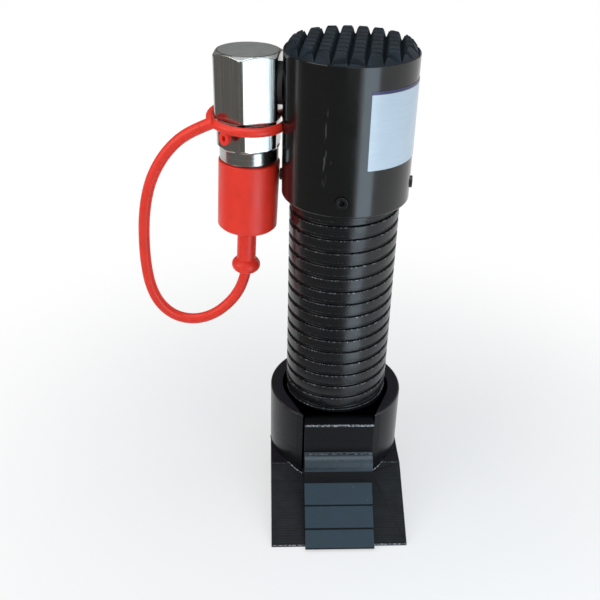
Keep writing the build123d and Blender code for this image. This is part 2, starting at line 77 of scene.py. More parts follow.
# Control points of the tether, from the knob round to the ring
TETHER_ROUTE = (
    (-0.0523, 0.0090, 0.1344),
    (-0.0542, 0.0087, 0.1260),
    (-0.0602, 0.0082, 0.1158),
    (-0.0700, 0.0076, 0.1070),
    (-0.0814, 0.0071, 0.1034),
    (-0.0926, 0.0065, 0.1060),
    (-0.1010, 0.0059, 0.1144),
    (-0.1054, 0.0053, 0.1264),
    (-0.1069, 0.0048, 0.1404),
    (-0.1068, 0.0043, 0.1560),
    (-0.1054, 0.0038, 0.1724),
    (-0.1016, 0.0033, 0.1886),
    (-0.0952, 0.0028, 0.2014),
    (-0.0876, 0.0020, 0.2108),
    (-0.0798, 0.0010, 0.2170),
    (-0.0730, -0.0004, 0.2204),
)


def colour_property(name, description, default):
    """Colour of one finish, with a name and a description for the panel."""
    return FloatVectorProperty(
        name=name, description=description, subtype="COLOR", size=3, min=0.0, max=1.0, default=default
    )


def length_property(name, description, default):
    """Length in metres, with a name and a description for the panel."""
    return FloatProperty(name=name, description=description, default=default, unit="LENGTH", precision=5)


class OpenerFinish(PropertyGroup):
    """Base colours of the opener's finishes."""

    black_steel: colour_property("Black steel", "Blackened steel of barrel and base", (0.0065, 0.0070, 0.0080))
    toe_slate: colour_property("Toe slate", "Matte milled steps of the moving toe", (0.015, 0.031, 0.044))
    # Bare steel of worn edges, also the colour of the painted glints along the barrel's ridges and the rounded edges of
    # base and toe
    wear_and_glint_steel: colour_property("Worn edge and glint", "Steel that shows along rubbed edges", (0.30, 0.33, 0.36))
    head_paint: colour_property("Head", "Side of the head", (0.0036, 0.0042, 0.0045))
    stud_steel: colour_property("Studs", "Matte studs on the head", (0.008, 0.014, 0.020))
    plating: colour_property("Plating", "Machined and plated coupler", (0.46, 0.47, 0.46))
    red_vinyl: colour_property("Red vinyl", "Cap, ring and tether", (0.88, 0.038, 0.018))
    label: colour_property("Label", "Bare silvery label plate", (0.60, 0.69, 0.77))
    label_border: colour_property("Label border", "Band along the label's upper edge", (0.030, 0.030, 0.110))


class OpenerSizes(PropertyGroup):
    """Sizes of the pieces that are added to the frame."""

    tether_diameter: length_property("Tether diameter", "Diameter of the moulded tether", 0.006)
    label_left: FloatProperty(
        name="Label left edge", description="Angle of the left edge round the barrel's axis",
        default=math.radians(-78.0), subtype="ANGLE",
    )
    label_sweep: FloatProperty(
        name="Label sweep", description="Angle that the label covers round the head",
        default=math.radians(70.0), subtype="ANGLE",
    )
    label_top: length_property("Label top", "Height of the label's upper edge", 0.2480)
    label_bottom: length_property("Label bottom", "Height of the label's lower edge", 0.2100)
    label_thickness: length_property("Label thickness", "Thickness of the foil", 0.00015)
    label_corner: length_property("Label corner", "Radius of the label's corners", 0.0006)


class OpenerStage(PropertyGroup):
    """Camera and lights."""

    aim: FloatVectorProperty(
        name="Aim", description="Point that the camera looks at", size=3, subtype="TRANSLATION",
        default=(-0.022075, 0.0, 0.120448),
    )
    distance: length_property("Distance", "Distance of the camera from its aim", 0.46217)
    azimuth: FloatProperty(
        name="Azimuth", description="Turn of the camera round the opener", default=math.radians(-2.789), subtype="ANGLE"
    )
    elevation: FloatProperty(
        name="Elevation", description="Height angle of the camera", default=math.radians(30.516), subtype="ANGLE"
    )
    roll: FloatProperty(name="Roll", description="Tilt of the picture", default=math.radians(-1.355), subtype="ANGLE")
    lens: FloatProperty(name="Lens", description="Focal length in millimetres", default=49.458, min=10.0, max=200.0)
    world_strength: FloatProperty(name="World", description="Strength of the even light", default=0.35, min=0.0)


# Node trees


def place(tree, kind, values=None, **settings):
    """Add a node: settings are its attributes, values maps an input to a number or to the socket that feeds it."""
    made = tree.nodes.new(kind)
    for name, value in settings.items():
        setattr(made, name, value)
    for name, value in (values or {}).items():
        socket = made.inputs[name]
        if isinstance(value, bpy.types.NodeSocket):
            tree.links.new(value, socket)
        else:
            socket.default_value = value
    return made


def new_group(name, inputs, outputs):
    """Shader node group with its sockets, and the nodes that stand for them inside."""
    tree = bpy.data.node_groups.new(name, "ShaderNodeTree")
    for socket, kind, default in inputs:
        made = tree.interface.new_socket(socket, in_out="INPUT", socket_type=kind)
        if default is not None:
            made.default_value = default
    for socket, kind in outputs:
        tree.interface.new_socket(socket, in_out="OUTPUT", socket_type=kind)
    return tree, tree.nodes.new("NodeGroupInput"), tree.nodes.new("NodeGroupOutput")


def join(tree, output, **sockets):
    """Feed a group's outputs."""
    for name, socket in sockets.items():
        tree.links.new(socket, output.inputs[name])


def tool_lines_group():
    """Fine parallel lines that a cutting tool leaves: even along Z, broken up along X and Y."""
    tree, given, result = new_group(
        "Tool Lines",
        [("Vector", "NodeSocketVector", None), ("Lines", "NodeSocketFloat", 900.0), ("Run", "NodeSocketFloat", 12.0)],
        [("Height", "NodeSocketFloat"), ("Mask", "NodeSocketFloat")],
    )
    scale = place(tree, "ShaderNodeCombineXYZ", {"X": given.outputs["Run"], "Y": given.outputs["Run"],
                                                "Z": given.outputs["Lines"]})
    stretched = place(tree, "ShaderNodeVectorMath", {0: given.outputs["Vector"], 1: scale.outputs[0]},
                      operation="MULTIPLY")
    fine = place(tree, "ShaderNodeTexNoise", {"Vector": stretched.outputs[0], "Scale": 1.0, "Detail": 3.0,
                                              "Roughness": 0.6})
    contrast = place(tree, "ShaderNodeMapRange", {"Value": fine.outputs["Fac"], "From Min": 0.35, "From Max": 0.65})
    join(tree, result, Height=fine.outputs["Fac"], Mask=contrast.outputs["Result"])
    return tree


def handling_group():
    """Smudges from oily hands, and sparse straight hairlines along Z."""
    tree, given, result = new_group(
        "Handling Marks",
        [("Vector", "NodeSocketVector", None), ("Scale", "NodeSocketFloat", 60.0)],
        [("Smudge", "NodeSocketFloat"), ("Hairline", "NodeSocketFloat")],
    )
    cloud = place(tree, "ShaderNodeTexNoise", {"Vector": given.outputs["Vector"], "Scale": given.outputs["Scale"],
                                               "Detail": 5.0, "Roughness": 0.62, "Distortion": 0.4})
    smudge = place(tree, "ShaderNodeMapRange", {"Value": cloud.outputs["Fac"], "From Min": 0.38, "From Max": 0.72})
    drawn = place(tree, "ShaderNodeMapping", {"Vector": given.outputs["Vector"], "Scale": (2600.0, 2600.0, 60.0)},
                  vector_type="POINT")
    fine = place(tree, "ShaderNodeTexNoise", {"Vector": drawn.outputs[0], "Scale": 1.0, "Detail": 1.0})
    line = place(tree, "ShaderNodeMapRange", {"Value": fine.outputs["Fac"], "From Min": 0.70, "From Max": 0.76})
    join(tree, result, Smudge=smudge.outputs["Result"], Hairline=line.outputs["Result"])
    return tree


def rows_group():
    """Side-by-side passes of a milling cutter along X: a shallow scallop a row, uneven rows, a sharp ridge between."""
    tree, given, result = new_group(
        "Milled Rows",
        [("Vector", "NodeSocketVector", None), ("Pitch", "NodeSocketFloat", 0.0014)],
        [("Height", "NodeSocketFloat"), ("Ridge", "NodeSocketFloat"), ("Tone", "NodeSocketFloat")],
    )
    along = place(tree, "ShaderNodeSeparateXYZ", {0: given.outputs["Vector"]})
    count = place(tree, "ShaderNodeMath", {0: along.outputs["Y"], 1: given.outputs["Pitch"]}, operation="DIVIDE")
    share = place(tree, "ShaderNodeMath", {0: count.outputs[0]}, operation="FRACT")
    middle = place(tree, "ShaderNodeMath", {0: share.outputs[0], 1: 0.5}, operation="SUBTRACT")
    bowl = place(tree, "ShaderNodeMath", {0: middle.outputs[0], 1: 2.0}, operation="POWER")
    height = place(tree, "ShaderNodeMath", {0: bowl.outputs[0], 1: 4.0}, operation="MULTIPLY")
    ridge = place(tree, "ShaderNodeMapRange", {"Value": height.outputs[0], "From Min": 0.45, "From Max": 0.95})
    row = place(tree, "ShaderNodeMath", {0: count.outputs[0]}, operation="FLOOR")
    tone = place(tree, "ShaderNodeTexWhiteNoise", {"W": row.outputs[0]}, noise_dimensions="1D")
    join(tree, result, Height=height.outputs[0], Ridge=ridge.outputs["Result"], Tone=tone.outputs["Value"])
    return tree


def coil_group():
    """Distance from the middle of the barrel's helical groove, as a share of its pitch from 0 to 0.5."""
    tree, given, result = new_group(
        "Coil Place",
        [("Vector", "NodeSocketVector", None), ("Pitch", "NodeSocketFloat", GROOVE_PITCH),
         ("Start", "NodeSocketFloat", GROOVE_START)],
        [("Above", "NodeSocketFloat"), ("Turn", "NodeSocketFloat")],
    )
    at = place(tree, "ShaderNodeSeparateXYZ", {0: given.outputs["Vector"]})
    angle = place(tree, "ShaderNodeMath", {0: at.outputs["Y"], 1: at.outputs["X"]}, operation="ARCTAN2")
    turn = place(tree, "ShaderNodeMath", {0: angle.outputs[0], 1: 2 * math.pi}, operation="DIVIDE")
    rise = place(tree, "ShaderNodeMath", {0: at.outputs["Z"], 1: given.outputs["Start"]}, operation="SUBTRACT")
    turns = place(tree, "ShaderNodeMath", {0: rise.outputs[0], 1: given.outputs["Pitch"]}, operation="DIVIDE")
    phase = place(tree, "ShaderNodeMath", {0: turns.outputs[0], 1: turn.outputs[0]}, operation="SUBTRACT")
    above = place(tree, "ShaderNodeMath", {0: phase.outputs[0], 1: 1.0}, operation="FLOORED_MODULO")
    join(tree, result, Above=above.outputs[0], Turn=turn.outputs[0])
    return tree


def band_group():
    """Mask of a band between two heights, soft at both edges."""
    tree, given, result = new_group(
        "Height Band",
        [("Vector", "NodeSocketVector", None), ("Low", "NodeSocketFloat", 0.0), ("High", "NodeSocketFloat", 1.0),
         ("Softness", "NodeSocketFloat", 0.0005)],
        [("Mask", "NodeSocketFloat")],
    )
    height = place(tree, "ShaderNodeSeparateXYZ", {0: given.outputs["Vector"]})
    edges = []
    for name, sign in (("Low", 1.0), ("High", -1.0)):
        gap = place(tree, "ShaderNodeMath", {0: height.outputs["Z"], 1: given.outputs[name]}, operation="SUBTRACT")
        share = place(tree, "ShaderNodeMath", {0: gap.outputs[0], 1: given.outputs["Softness"]}, operation="DIVIDE")
        signed = place(tree, "ShaderNodeMath", {0: share.outputs[0], 1: sign}, operation="MULTIPLY", use_clamp=True)
        edges.append(signed.outputs[0])
    both = place(tree, "ShaderNodeMath", {0: edges[0], 1: edges[1]}, operation="MULTIPLY")
    join(tree, result, Mask=both.outputs[0])
    return tree


def group_node(tree, name, values=None):
    """Place a finished node group in a material."""
    made = tree.nodes.new("ShaderNodeGroup")
    made.node_tree = bpy.data.node_groups[name]
    for key, value in (values or {}).items():
        if isinstance(value, bpy.types.NodeSocket):
            tree.links.new(value, made.inputs[key])
        else:
            made.inputs[key].default_value = value
    return made


def mix(tree, share, first, second):
    """Mix two colours by a share, each a socket or a value."""
    return place(
        tree, "ShaderNodeMix", {0: share, 6: first, 7: second}, data_type="RGBA", clamp_factor=True
    ).outputs[2]


def spread(tree, value, low, high):
    """Turn a mask from 0 to 1 into a number from low to high."""
    made = place(tree, "ShaderNodeMapRange", {"Value": value, "To Min": low, "To Max": high})
    return made.outputs["Result"]


def new_material(name, **constants):
    """Material with a Principled shader, and the object's own coordinates to drive its pattern."""
    made = bpy.data.materials.new("opener_" + name)
    made.use_nodes = True
    tree = made.node_tree
    tree.nodes.clear()
    shader = tree.nodes.new("ShaderNodeBsdfPrincipled")
    output = tree.nodes.new("ShaderNodeOutputMaterial")
    tree.links.new(shader.outputs["BSDF"], output.inputs["Surface"])
    for key, value in constants.items():
        shader.inputs[key.replace("_", " ")].default_value = value
    coordinates = tree.nodes.new("ShaderNodeTexCoord").outputs["Object"]
    return made, tree, shader, coordinates


def rgba(colour, gain=1.0):
    """Colour as four numbers, brighter or darker by a gain."""
    return (*[min(1.0, c * gain) for c in colour], 1.0)


def bump(tree, height, distance, strength=1.0, below=None):
    """Bump node over a height, on top of another bump's normal where one is given."""
    values = {"Height": height, "Distance": distance, "Strength": strength}
    if below is not None:
        values["Normal"] = below
    return place(tree, "ShaderNodeBump", values).outputs["Normal"]


def feed(tree, shader, **sockets):
    """Link sockets to the shader's inputs."""
    for key, socket in sockets.items():
        tree.links.new(socket, shader.inputs[key.replace("_", " ")])


def black_steel_material(name, colour, rough_low, rough_high, gloss, lines, run):
    """Blackened and oiled steel with turning or milling lines and smudges."""
    made, tree, shader, where = new_material(name)
    shader.inputs["Specular IOR Level"].default_value = gloss
    cut = group_node(tree, "Tool Lines", {"Vector": where, "Lines": lines, "Run": run})
    marks = group_node(tree, "Handling Marks", {"Vector": where, "Scale": 55.0})
    shade = mix(tree, cut.outputs["Mask"], rgba(colour, 0.75), rgba(colour, 1.3))
    dusty = mix(tree, spread(tree, marks.outputs["Smudge"], 0.0, 0.3), shade, rgba(colour, 2.0))
    rough = spread(tree, marks.outputs["Smudge"], rough_low, rough_high)
    feed(tree, shader, Base_Color=dusty, Roughness=rough, Normal=bump(tree, cut.outputs["Height"], 0.00002, 0.5))
    return made


def barrel_material(colour, worn):
    """Glossy black barrel whose ridges are bright, in dashes, along their lower and upper edges: partly rubbed steel,
    partly a painted glint.
    """
    made, tree, shader, where = new_material("barrel_steel")
    shader.inputs["Specular IOR Level"].default_value = 0.42
    cut = group_node(tree, "Tool Lines", {"Vector": where, "Lines": 2400.0, "Run": 10.0})
    marks = group_node(tree, "Handling Marks", {"Vector": where, "Scale": 60.0})
    coil = group_node(tree, "Coil Place", {"Vector": where})
    shade = mix(tree, cut.outputs["Mask"], rgba(colour, 0.7), rgba(colour, 1.35))
    half = GROOVE_MOUTH / GROOVE_PITCH / 2
    edges = []
    for middle in (1.0 - half - 0.012, half + 0.010):
        gap = place(tree, "ShaderNodeMath", {0: coil.outputs["Above"], 1: middle}, operation="SUBTRACT")
        size = place(tree, "ShaderNodeMath", {0: gap.outputs[0]}, operation="ABSOLUTE")
        near = place(tree, "ShaderNodeMapRange", {"Value": size.outputs[0], "From Min": 0.045, "From Max": 0.012})
        edges.append(near.outputs["Result"])
    dashes = place(tree, "ShaderNodeMapping", {"Vector": where, "Scale": (1.0, 1.0, 0.35)}, vector_type="POINT")
    chips = place(tree, "ShaderNodeTexNoise", {"Vector": dashes.outputs[0], "Scale": 900.0, "Detail": 3.0})
    broken = place(tree, "ShaderNodeMapRange", {"Value": chips.outputs["Fac"], "From Min": 0.52, "From Max": 0.62})
    # Partly wear, partly painted glint: dashes along each ridge's edges, full along one edge and faint along the other.
    low_wear_glint = place(tree, "ShaderNodeMath", {0: edges[0], 1: broken.outputs["Result"]}, operation="MULTIPLY")
    high_wear_glint = place(tree, "ShaderNodeMath", {0: edges[1], 1: broken.outputs["Result"]}, operation="MULTIPLY")
    faint = place(tree, "ShaderNodeMath", {0: high_wear_glint.outputs[0], 1: 0.35}, operation="MULTIPLY")
    rubbed = place(tree, "ShaderNodeMath", {0: low_wear_glint.outputs[0], 1: faint.outputs[0]}, operation="MAXIMUM")
    # The dashes lighten the base colour toward bare steel and turn it metallic: a painted glint as well as wear.
    tint = mix(tree, spread(tree, rubbed.outputs[0], 0.0, 0.55), shade, rgba(worn))
    rough = spread(tree, marks.outputs["Smudge"], 0.20, 0.32)
    metal = spread(tree, rubbed.outputs[0], 0.0, 0.8)
    feed(tree, shader, Base_Color=tint, Roughness=rough, Metallic=metal,
         Normal=bump(tree, cut.outputs["Height"], 0.000012, 0.5))
    return made


def wide_toe_material(colour, worn):
    """Sloping face of the base: milled in even rows, dull, with a faint painted highlight along the ridges between
    rows.
    """
    made, tree, shader, where = new_material("wide_toe_steel")
    shader.inputs["Specular IOR Level"].default_value = 0.10
    rows = group_node(tree, "Milled Rows", {"Vector": where, "Pitch": 0.00128})
    marks = group_node(tree, "Handling Marks", {"Vector": where, "Scale": 70.0})
    shade = mix(tree, rows.outputs["Tone"], rgba(colour, 0.5), rgba(colour, 0.9))
    # Painted highlight: the ridge between milled rows is lightened as if it caught the light.
    painted_ridge_highlight = mix(tree, spread(tree, rows.outputs["Ridge"], 0.0, 0.8), shade, rgba(colour, 2.6))
    rubbed = mix(tree, spread(tree, marks.outputs["Smudge"], 0.0, 0.10), painted_ridge_highlight, rgba(worn, 0.5))
    rough = spread(tree, marks.outputs["Smudge"], 0.42, 0.56)
    feed(tree, shader, Base_Color=rubbed, Roughness=rough, Normal=bump(tree, rows.outputs["Height"], 0.00005, 0.8))
    return made


def edge_material(name, colour, worn, low, high):
    """Edge of a black piece, rubbed to bare steel where the grain is over low, and wholly over high: partly wear,
    partly a painted glint along the edge.
    """
    made, tree, shader, where = new_material(name)
    chips = place(tree, "ShaderNodeTexNoise", {"Vector": where, "Scale": 900.0, "Detail": 4.0, "Roughness": 0.7})
    broken = place(tree, "ShaderNodeMapRange", {"Value": chips.outputs["Fac"], "From Min": low, "From Max": high})
    # Painted glint and wear: chips of the edge turn to bright metallic steel.
    tint = mix(tree, broken.outputs["Result"], rgba(colour, 1.5), rgba(worn))
    rough = spread(tree, chips.outputs["Fac"], 0.22, 0.5)
    feed(tree, shader, Base_Color=tint, Roughness=rough, Metallic=spread(tree, broken.outputs["Result"], 0.1, 0.9),
         Normal=bump(tree, chips.outputs["Fac"], 0.00012, 0.5))
    return made


def slate_material(name, colour, rough_low, rough_high, gloss):
    """Matte blasted steel of the gripping steps: fine grain, cloudy tone, a few pale nicks."""
    made, tree, shader, where = new_material(name)
    shader.inputs["Specular IOR Level"].default_value = gloss
    marks = group_node(tree, "Handling Marks", {"Vector": where, "Scale": 110.0})
    grain = place(tree, "ShaderNodeTexNoise", {"Vector": where, "Scale": 2200.0, "Detail": 3.0})
    shade = mix(tree, marks.outputs["Smudge"], rgba(colour, 0.82), rgba(colour, 1.22))
    speck = mix(tree, spread(tree, grain.outputs["Fac"], 0.0, 0.5), shade, rgba(colour, 1.5))
    nicks = place(tree, "ShaderNodeTexNoise", {"Vector": where, "Scale": 520.0, "Detail": 1.0})
    nick = place(tree, "ShaderNodeMapRange", {"Value": nicks.outputs["Fac"], "From Min": 0.76, "From Max": 0.80})
    tint = mix(tree, spread(tree, nick.outputs["Result"], 0.0, 0.6), speck, (0.12, 0.14, 0.16, 1.0))
    rough = spread(tree, marks.outputs["Smudge"], rough_low, rough_high)
    feed(tree, shader, Base_Color=tint, Roughness=rough, Normal=bump(tree, grain.outputs["Fac"], 0.00006, 0.5))
    return made


def head_material(colour):
    """Side of the head: smooth and glossy, with two lanes of pale scuffs."""
    made, tree, shader, where = new_material("head_paint")
    shader.inputs["Specular IOR Level"].default_value = 0.50
    marks = group_node(tree, "Handling Marks", {"Vector": where, "Scale": 70.0})
    cut = group_node(tree, "Tool Lines", {"Vector": where, "Lines": 1500.0, "Run": 30.0})
    side = mix(tree, cut.outputs["Mask"], rgba(colour, 0.85), rgba(colour, 1.2))
    tall = place(tree, "ShaderNodeMapping", {"Vector": where, "Scale": (1.0, 1.0, 0.16)}, vector_type="POINT")
    flakes = place(tree, "ShaderNodeTexNoise", {"Vector": tall.outputs[0], "Scale": 850.0, "Detail": 2.0})
    sparse = place(tree, "ShaderNodeMapRange", {"Value": flakes.outputs["Fac"], "From Min": 0.56, "From Max": 0.70})
    at = place(tree, "ShaderNodeSeparateXYZ", {0: where})
    front = place(tree, "ShaderNodeMath", {0: at.outputs["Y"], 1: 0.0}, operation="LESS_THAN")
    lanes = None
    for middle, low, high in ((-0.0135, 0.186, 0.246), (-0.0105, 0.200, 0.226)):
        gap = place(tree, "ShaderNodeMath", {0: at.outputs["X"], 1: middle}, operation="SUBTRACT")
        size = place(tree, "ShaderNodeMath", {0: gap.outputs[0]}, operation="ABSOLUTE")
        near = place(tree, "ShaderNodeMapRange", {"Value": size.outputs[0], "From Min": 0.0012, "From Max": 0.0004})
        band = group_node(tree, "Height Band", {"Vector": where, "Low": low, "High": high, "Softness": 0.006})
        lane = place(tree, "ShaderNodeMath", {0: near.outputs["Result"], 1: band.outputs["Mask"]},
                     operation="MULTIPLY")
        if lanes is None:
            lanes = lane
        else:
            lanes = place(tree, "ShaderNodeMath", {0: lanes.outputs[0], 1: lane.outputs[0]}, operation="MAXIMUM")
    scuff = place(tree, "ShaderNodeMath", {0: lanes.outputs[0], 1: front.outputs[0]}, operation="MULTIPLY")
    scuffs = place(tree, "ShaderNodeMath", {0: scuff.outputs[0], 1: sparse.outputs["Result"]}, operation="MULTIPLY")
    worn = mix(tree, spread(tree, scuffs.outputs[0], 0.0, 0.22), side, (0.24, 0.24, 0.23, 1.0))
    rough = spread(tree, marks.outputs["Smudge"], 0.15, 0.22)
    feed(tree, shader, Base_Color=worn, Roughness=rough, Normal=bump(tree, cut.outputs["Height"], 0.000004, 0.4))
    return made


def stud_material(colour):
    """Matte oiled studs with a rough grain and cloudy grime."""
    made, tree, shader, where = new_material("stud_steel")
    shader.inputs["Specular IOR Level"].default_value = 0.16
    marks = group_node(tree, "Handling Marks", {"Vector": where, "Scale": 120.0})
    grain = place(tree, "ShaderNodeTexNoise", {"Vector": where, "Scale": 1300.0, "Detail": 4.0})
    grime = mix(tree, marks.outputs["Smudge"], rgba(colour, 0.65), rgba(colour, 1.5))
    rough = spread(tree, grain.outputs["Fac"], 0.40, 0.66)
    feed(tree, shader, Base_Color=grime, Roughness=rough, Normal=bump(tree, grain.outputs["Fac"], 0.0002, 0.7))
    return made


def plated_material(name, colour, streaks, across, rough_low, rough_high):
    """Machined and plated steel with drawn streaks and a dull film; streaks are finest along X and Y or along Z."""
    made, tree, shader, where = new_material(name, Metallic=1.0)
    cut = group_node(tree, "Tool Lines", {"Vector": where, "Lines": across, "Run": streaks})
    marks = group_node(tree, "Handling Marks", {"Vector": where, "Scale": 80.0})
    shade = mix(tree, cut.outputs["Mask"], rgba(colour, 0.80), rgba(colour, 1.12))
    film = mix(tree, spread(tree, marks.outputs["Smudge"], 0.0, 0.5), shade, rgba(colour, 0.66))
    rough = spread(tree, marks.outputs["Smudge"], rough_low, rough_high)
    feed(tree, shader, Base_Color=film, Roughness=rough, Normal=bump(tree, cut.outputs["Height"], 0.00005, 0.6))
    return made


def faced_material(name, colour):
    """Sawn and faced end of the hexagon: dull grey, with fine pits and short marks all ways."""
    made, tree, shader, where = new_material(name, Metallic=1.0)
    grain = place(tree, "ShaderNodeTexNoise", {"Vector": where, "Scale": 1300.0, "Detail": 4.0, "Roughness": 0.65})
    marks = group_node(tree, "Handling Marks", {"Vector": where, "Scale": 130.0})
    shade = mix(tree, marks.outputs["Smudge"], rgba(colour, 0.72), rgba(colour, 0.95))
    pits = mix(tree, grain.outputs["Fac"], rgba(colour, 0.55), shade)
    rough = spread(tree, grain.outputs["Fac"], 0.42, 0.62)
    feed(tree, shader, Base_Color=pits, Roughness=rough, Normal=bump(tree, grain.outputs["Fac"], 0.00012, 0.6))
    return made


def vinyl_material(colour):
    """Soft moulded vinyl: satin, with faint mottling and a few dark specks."""
    made, tree, shader, where = new_material("red_vinyl", Subsurface_Weight=0.06, Subsurface_Scale=0.003)
    shader.inputs["Subsurface Radius"].default_value = (1.0, 0.25, 0.12)
    shader.inputs["Specular IOR Level"].default_value = 0.40
    marks = group_node(tree, "Handling Marks", {"Vector": where, "Scale": 90.0})
    shade = mix(tree, marks.outputs["Smudge"], rgba(colour, 0.94), rgba(colour, 1.05))
    pits = place(tree, "ShaderNodeTexNoise", {"Vector": where, "Scale": 800.0, "Detail": 2.0})
    specks = place(tree, "ShaderNodeMapRange", {"Value": pits.outputs["Fac"], "From Min": 0.74, "From Max": 0.8})
    dirty = mix(tree, spread(tree, specks.outputs["Result"], 0.0, 0.5), shade, rgba(colour, 0.3))
    rough = spread(tree, marks.outputs["Smudge"], 0.36, 0.50)
    feed(tree, shader, Base_Color=dirty, Roughness=rough, Normal=bump(tree, pits.outputs["Fac"], 0.00008, 0.35))
    return made


def label_material(colour, border, top):
    """Glossy silvery foil with a plain dark band along its upper edge."""
    made, tree, shader, where = new_material("label_foil")
    shader.inputs["Specular IOR Level"].default_value = 0.5
    cut = group_node(tree, "Tool Lines", {"Vector": where, "Lines": 2500.0, "Run": 60.0})
    marks = group_node(tree, "Handling Marks", {"Vector": where, "Scale": 90.0})
    shade = mix(tree, cut.outputs["Mask"], rgba(colour, 0.96), rgba(colour, 1.04))
    film = mix(tree, spread(tree, marks.outputs["Smudge"], 0.0, 0.4), shade, rgba(colour, 0.92))
    band = group_node(tree, "Height Band", {"Vector": where, "Low": top - 0.0016, "High": 1.0, "Softness": 0.0002})
    printed = mix(tree, band.outputs["Mask"], film, rgba(border))
    rough = spread(tree, marks.outputs["Smudge"], 0.28, 0.40)
    feed(tree, shader, Base_Color=printed, Roughness=rough)
    return made


def rubber_material():
    """Black seal rubber with a fine grain."""
    made, tree, shader, where = new_material("seal_rubber", IOR=1.5)
    grain = place(tree, "ShaderNodeTexNoise", {"Vector": where, "Scale": 1200.0, "Detail": 3.0})
    shade = mix(tree, grain.outputs["Fac"], (0.012, 0.012, 0.013, 1.0), (0.028, 0.028, 0.03, 1.0))
    rough = spread(tree, grain.outputs["Fac"], 0.55, 0.75)
    feed(tree, shader, Base_Color=shade, Roughness=rough, Normal=bump(tree, grain.outputs["Fac"], 0.0001, 0.4))
    return made


def paper_material(name):
    """Pale floor that keeps the shadow, and turns to a clean white further out."""
    made = bpy.data.materials.new(name)
    made.use_nodes = True
    tree = made.node_tree
    tree.nodes.clear()
    rays = tree.nodes.new("ShaderNodeLightPath")
    where = tree.nodes.new("ShaderNodeTexCoord").outputs["Object"]
    matte = place(tree, "ShaderNodeBsdfDiffuse", {"Color": (0.86, 0.86, 0.85, 1.0)})
    white = place(tree, "ShaderNodeEmission", {"Color": (1.0, 1.0, 1.0, 1.0), "Strength": 1.0})
    seen = rays.outputs["Is Camera Ray"]
    for other in ("Is Glossy Ray", "Is Transmission Ray"):
        seen = place(tree, "ShaderNodeMath", {0: seen, 1: rays.outputs[other]}, operation="MAXIMUM").outputs[0]
    out = place(tree, "ShaderNodeVectorMath", {0: where}, operation="LENGTH")
    far = place(tree, "ShaderNodeMapRange", {"Value": out.outputs["Value"], "From Min": 0.08, "From Max": 0.34,
                                             "To Min": 0.55, "To Max": 1.0}, interpolation_type="SMOOTHSTEP")
    share = place(tree, "ShaderNodeMath", {0: far.outputs["Result"], 1: seen}, operation="MULTIPLY")
    both = place(tree, "ShaderNodeMixShader", {0: share.outputs[0], 1: matte.outputs[0], 2: white.outputs[0]})
    output = tree.nodes.new("ShaderNodeOutputMaterial")
    tree.links.new(both.outputs[0], output.inputs["Surface"])
    return made


def finish_of(name):
    """Finished material by name, apart from the frame's own materials."""
    return bpy.data.materials["opener_" + name]


def dress(node, *materials):
    """Give a CAD node its finish."""
    mesh = NODES[node].data
    mesh.materials.clear()
    for name in materials:
        mesh.materials.append(finish_of(name))


def new_piece(name, mesh, body, material):
    """Add a finished mesh to the scene as a piece that rides on a body."""
    piece = bpy.data.objects.new(name, mesh)
    bpy.context.scene.collection.objects.link(piece)
    mesh.materials.append(finish_of(material))
    if body:
        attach(piece, body)
    return piece


def merged_shell(node):
    """Closed bmesh of a CAD node, with its doubled vertices merged."""
    shell = bmesh.new()
    shell.from_mesh(NODES[node].data)
    bmesh.ops.remove_doubles(shell, verts=shell.verts, dist=1e-6)
    return shell


def as_mesh(shell, name):
    """Smooth-shaded mesh of a finished bmesh."""
    mesh = bpy.data.meshes.new(name)
    shell.to_mesh(mesh)
    shell.free()
    mesh.shade_smooth()
    return mesh


def sharp_edges(shell, angle):
    """Edges between two faces that turn by more than an angle in degrees."""
    return [e for e in shell.edges if len(e.link_faces) == 2 and e.calc_face_angle(0) > math.radians(angle)]


def ease(shell, edges, width, segments=2):
    """Round some edges of a bmesh, and give back the faces that this makes."""
    made = bmesh.ops.bevel(
        shell, geom=edges, offset=width, offset_type="OFFSET", segments=segments, profile=0.5, affect="EDGES",
        material=-1, clamp_overlap=False,
    )
    return set(made["faces"])


def eased_piece(node, body, materials, width, pick=None, angle=25.0, reshape=None, flat=0.5):
    """Copy of a CAD node, reshaped where reshape is given, with its sharp edges rounded.

    pick gives each face its material by its centre, normal and whether it is part of a rounded edge.
    """
    shell = merged_shell(node)
    if reshape:
        reshape(shell)
    bmesh.ops.dissolve_limit(shell, angle_limit=math.radians(flat), verts=shell.verts, edges=shell.edges)
    edges = ease(shell, sharp_edges(shell, angle), width)
    if pick:
        shell.normal_update()
        for face in shell.faces:
            face.material_index = pick(face.calc_center_median(), face.normal, face in edges)
    name = node + "_body"
    piece = new_piece(name, as_mesh(shell, name), body, materials[0])
    for material in materials[1:]:
        piece.data.materials.append(finish_of(material))
    level = piece.modifiers.new("even_shading", "WEIGHTED_NORMAL")
    level.weight = 60
    level.keep_sharp = False
    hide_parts(node)
    return piece


